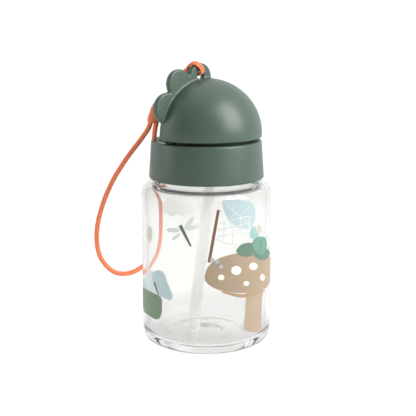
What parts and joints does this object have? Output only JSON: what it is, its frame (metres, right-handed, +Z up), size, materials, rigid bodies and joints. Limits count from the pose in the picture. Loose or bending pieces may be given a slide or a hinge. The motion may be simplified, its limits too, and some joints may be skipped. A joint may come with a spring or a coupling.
{
  "type": "kids water bottle",
  "caption": "Clear drinking bottle with a screw lid, a flip-back dome with a scalloped comb, a folding mouthpiece with straw, and a hanging strap loop.",
  "frame": {"origin": "centre of the underside, on the plane the bottle stands on", "axes": "+Z up along the bottle's axis; the drinker is at -Y and the dome opens towards +Y; the dome's hinge runs along X"},
  "size_m": [0.0792, 0.0886, 0.1573],
  "materials": {
    "clear_plastic": "clear, glossy",
    "green_plastic": "soft satin",
    "silicone_white": "matt",
    "straw_plastic": "translucent",
    "orange_silicone": "matt",
    "steel": "drawn pin"
  },
  "bodies": {
    "bottle": {"bottle_body": "clear_plastic"},
    "seal": {"lid_gasket": "silicone_white"},
    "lid": {"lid_collar": "green_plastic", "lid_deck": "green_plastic", "vent_valve": "silicone_white", "mouthpiece_base": "silicone_white", "pivot_pin_left": "steel", "pivot_pin_right": "steel"},
    "mouthpiece": {"mouthpiece_tip": "silicone_white"},
    "straw_body": {"straw": "straw_plastic"},
    "dome": {"dome_cover": "green_plastic", "strap_hitch": "orange_silicone"},
    "strap": {"strap_tail_left": "orange_silicone", "strap_tail_right": "orange_silicone", "strap_connector": "orange_silicone", "strap_loop": "orange_silicone"}
  },
  "joints": [
    {"name": "lid_lift", "type": "slide", "parent": "bottle", "child": "seal", "axis": [0, 0, 1], "range_m": [0, 0.125]},
    {"name": "lid_turn", "type": "hinge", "parent": "seal", "child": "lid", "pos_m": [0, 0, 0.11], "axis": [0, 0, 1], "range_deg": [0, 270]},
    {"name": "dome_pivot", "type": "hinge", "parent": "lid", "child": "dome", "pos_m": [0, 0, 0.11796], "axis": [-1, 0, 0], "range_deg": [0, 90]},
    {"name": "mouthpiece_fold", "type": "hinge", "parent": "lid", "child": "mouthpiece", "pos_m": [0, -0.0065, 0.1182], "axis": [-1, 0, 0], "range_deg": [0, 63]},
    {"name": "strap_swing", "type": "hinge", "parent": "dome", "child": "strap", "pos_m": [-0.0093, 0.0057, 0.1519], "axis": [1, 0, 0], "range_deg": [0, 108]},
    {"name": "straw_swing", "type": "hinge", "parent": "lid", "child": "straw_body", "pos_m": [0, -0.0065, 0.1092], "axis": [0.3577, -0.9338, 0], "range_deg": [0, 13.8]}
  ],
  "couplings": [
    {"joint": "mouthpiece_fold", "follows": "dome_pivot", "ratio": 0.7},
    {"joint": "strap_swing", "follows": "dome_pivot", "ratio": 1.2},
    {"joint": "straw_swing", "follows": "lid_lift", "rad_per_m": 1.9}
  ]
}
